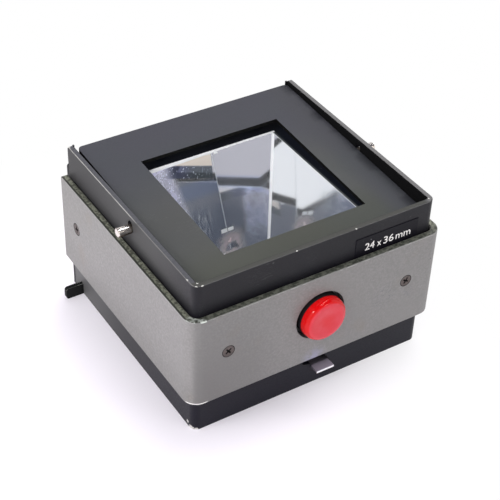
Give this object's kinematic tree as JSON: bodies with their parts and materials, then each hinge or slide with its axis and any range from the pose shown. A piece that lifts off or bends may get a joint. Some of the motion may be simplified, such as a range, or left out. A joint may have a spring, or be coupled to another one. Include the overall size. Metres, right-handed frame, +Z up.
{
  "type": "slide duplicator mirror box",
  "caption": "Mirror light box of a slide duplicator: square lamp window narrowing to a film window, sprung top frame, red release button and side pins.",
  "frame": {"origin": "Middle of the footprint of the whole box, on the surface it stands on.", "axes": "+Z up, +Y from the button side to the back, +X to the right seen from the button side."},
  "size_m": [0.1266, 0.1146, 0.0737],
  "materials": {
    "housing_black": "satin black paint on sheet, worn bright at the edges",
    "band_grey": "grey hammer-tone paint, chipped at the corners",
    "frame_black": "satin black paint with fine dust",
    "base_black": "matt black paint",
    "cover_black": "satin black paint",
    "bar_black": "black paint, worn light at the edges",
    "label_black": "dark film with white figures",
    "mirror_glass": "front-silvered glass, slightly dusty and scratched",
    "diffuser_opal": "opal white",
    "pin_steel": "turned, nickel plated",
    "screw_steel": "zinc plated",
    "washer_steel": "plain",
    "spring_steel": "blued spring steel",
    "latch_steel": "plain sheet with a bright sheared edge",
    "bracket_steel": "zinc plated sheet",
    "post_aluminium": "plain bar",
    "rivet_brass": "plain",
    "buffer_rubber": "black",
    "guide_black": "black moulding",
    "button_red": "glossy red with a dished face"
  },
  "bodies": {
    "casing": {"inner_housing": "housing_black", "outer_band": "band_grey", "band_spacers": "washer_steel", "band_screws": "screw_steel", "front_posts": "post_aluminium", "rear_posts": "post_aluminium", "base_plate": "base_black", "base_screws": "screw_steel", "back_cover": "cover_black", "back_screws": "screw_steel", "locating_bar": "bar_black", "size_label": "label_black", "mirror_front": "mirror_glass", "mirror_back": "mirror_glass", "mirror_left": "mirror_glass", "mirror_right": "mirror_glass", "mirror_carrier": "base_black", "carrier_screws": "screw_steel", "exit_frame": "guide_black", "exit_screws": "screw_steel", "diffuser": "diffuser_opal", "frame_buffers": "buffer_rubber", "frame_spring_left": "spring_steel", "frame_spring_right": "spring_steel", "spring_rivets": "rivet_brass", "button_guide": "guide_black", "guide_rivets": "rivet_brass", "spring_bracket": "bracket_steel", "bracket_screws": "screw_steel", "button_spring": "spring_steel"},
    "pin_pair": {"frame_pins": "pin_steel"},
    "rocking_frame": {"top_frame": "frame_black"},
    "release": {"button_cap": "button_red", "plunger_rod": "pin_steel", "latch_plate": "latch_steel", "latch_nut": "screw_steel"}
  },
  "joints": [
    {"name": "button_press", "type": "slide", "parent": "casing", "child": "release", "axis": [0, 1, 0], "range_m": [0, 0.0042], "stiffness_N_per_m": 700, "springref_m": -0.004, "deforming": ["button_spring"]},
    {"name": "frame_lift", "type": "slide", "parent": "casing", "child": "pin_pair", "axis": [0, 0, 1], "range_m": [0, 0.002]},
    {"name": "frame_rock", "type": "hinge", "parent": "pin_pair", "child": "rocking_frame", "pos_m": [0, 0.0007, 0.0678], "axis": [1, 0, 0], "range_deg": [-5, 0], "stiffness_Nm_per_rad": 0.3, "springref_deg": 5.73, "deforming": ["frame_spring_left", "frame_spring_right"]}
  ]
}
